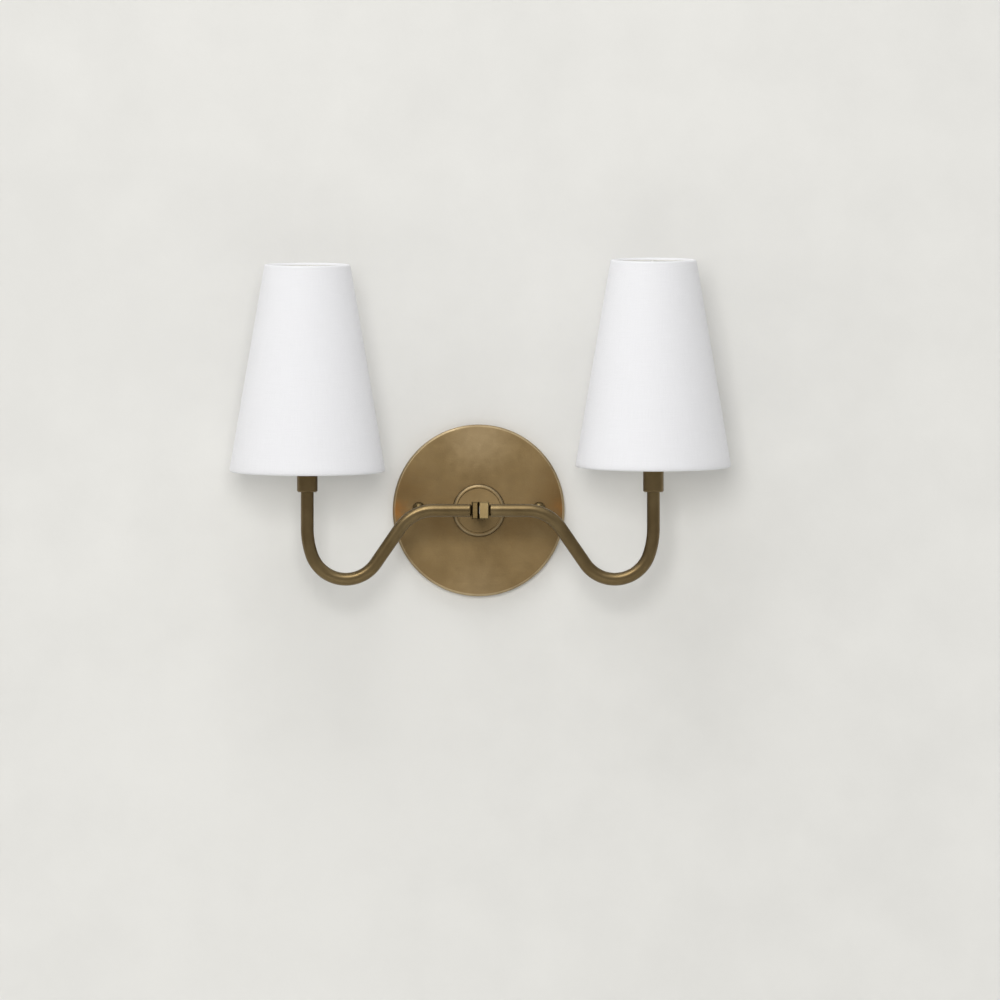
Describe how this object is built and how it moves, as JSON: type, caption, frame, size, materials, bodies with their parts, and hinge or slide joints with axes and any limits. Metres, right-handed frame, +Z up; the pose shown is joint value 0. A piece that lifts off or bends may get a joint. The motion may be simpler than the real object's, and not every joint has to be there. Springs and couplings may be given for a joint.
{
  "type": "double arm wall sconce",
  "caption": "Wall sconce: round backplate, short stem and cube hub, down-curved arms that each carry a candle lampholder and a small cone shade hung on its bulb by a wire clip.",
  "frame": {"origin": "middle of the mounting strap's back face on the wall, on the axis of the outlet box", "axes": "+Y into the wall, -Y towards the room, +Z up, +X to the right seen from the room"},
  "size_m": [0.3682, 0.1265, 0.2496],
  "materials": {
    "aged_brass": "aged, satin lacquer with brown patina",
    "plain_brass": "as turned",
    "zinc_steel": "zinc plated",
    "earth_green": "green plated",
    "lampholder_black": "moulded phenolic",
    "candle_ivory": "smooth",
    "bulb_cap_metal": "bright",
    "bulb_glass": "frosted",
    "clip_wire": "plated spring wire",
    "shade_linen": "fine linen weave",
    "shade_liner_white": "matt",
    "ring_wire_white": "white painted wire"
  },
  "bodies": {
    "root": {"backplate": "aged_brass", "stem_boss": "aged_brass", "stem_tube": "aged_brass", "stem_nipple": "plain_brass", "stem_washer": "zinc_steel", "stem_locknut": "zinc_steel", "mounting_strap": "zinc_steel", "mounting_studs": "zinc_steel", "earth_screw": "earth_green", "arm_plug_left": "aged_brass", "arm_tube_left": "aged_brass", "hub_half_left": "aged_brass", "collar_left": "aged_brass", "socket_nipple_left": "plain_brass", "candle_cup_left": "aged_brass", "lampholder_left": "lampholder_black", "screw_shell_left": "plain_brass", "centre_contact_left": "plain_brass", "candle_sleeve_left": "candle_ivory", "arm_plug_right": "aged_brass", "arm_tube_right": "aged_brass", "hub_half_right": "aged_brass", "collar_right": "aged_brass", "socket_nipple_right": "plain_brass", "candle_cup_right": "aged_brass", "lampholder_right": "lampholder_black", "screw_shell_right": "plain_brass", "centre_contact_right": "plain_brass", "candle_sleeve_right": "candle_ivory"},
    "cap_nut_left": {"cap_nut_left": "aged_brass"},
    "cap_nut_right": {"cap_nut_right": "aged_brass"},
    "bulb_left": {"bulb_cap_left": "bulb_cap_metal", "bulb_glass_left": "bulb_glass"},
    "clip_left": {"bulb_clip_left": "clip_wire"},
    "shade_left": {"shade_cloth_left": "shade_linen", "shade_liner_left": "shade_liner_white", "shade_bottom_ring_left": "ring_wire_white", "shade_frame_left": "ring_wire_white", "pivot_pin_left": "plain_brass"},
    "bulb_right": {"bulb_cap_right": "bulb_cap_metal", "bulb_glass_right": "bulb_glass"},
    "clip_right": {"bulb_clip_right": "clip_wire"},
    "shade_right": {"shade_cloth_right": "shade_linen", "shade_liner_right": "shade_liner_white", "shade_bottom_ring_right": "ring_wire_white", "shade_frame_right": "ring_wire_white", "pivot_pin_right": "plain_brass"}
  },
  "joints": [
    {"name": "cap_nut_left_turn", "type": "hinge", "parent": "root", "child": "cap_nut_left", "pos_m": [-0.04445, -0.013, 0.0018], "axis": [0, -1, 0], "continuous": true},
    {"name": "cap_nut_right_turn", "type": "hinge", "parent": "root", "child": "cap_nut_right", "pos_m": [0.04445, -0.013, 0.0018], "axis": [0, -1, 0], "continuous": true},
    {"name": "bulb_left_unscrew", "type": "hinge", "parent": "root", "child": "bulb_left", "pos_m": [-0.127, -0.0762, 0.08], "axis": [0, 0, 1], "continuous": true},
    {"name": "shade_left_lift_off", "type": "slide", "parent": "bulb_left", "child": "clip_left", "axis": [0, 0, 1], "range_m": [0, 0.16]},
    {"name": "shade_left_tilt", "type": "hinge", "parent": "clip_left", "child": "shade_left", "pos_m": [-0.127, -0.0762, 0.147], "axis": [1, 0, 0], "range_deg": [-10, 3]},
    {"name": "bulb_right_unscrew", "type": "hinge", "parent": "root", "child": "bulb_right", "pos_m": [0.127, -0.0762, 0.08], "axis": [0, 0, 1], "continuous": true},
    {"name": "shade_right_lift_off", "type": "slide", "parent": "bulb_right", "child": "clip_right", "axis": [0, 0, 1], "range_m": [0, 0.16]},
    {"name": "shade_right_tilt", "type": "hinge", "parent": "clip_right", "child": "shade_right", "pos_m": [0.127, -0.0762, 0.1506], "axis": [1, 0, 0], "range_deg": [-10, 3]}
  ]
}
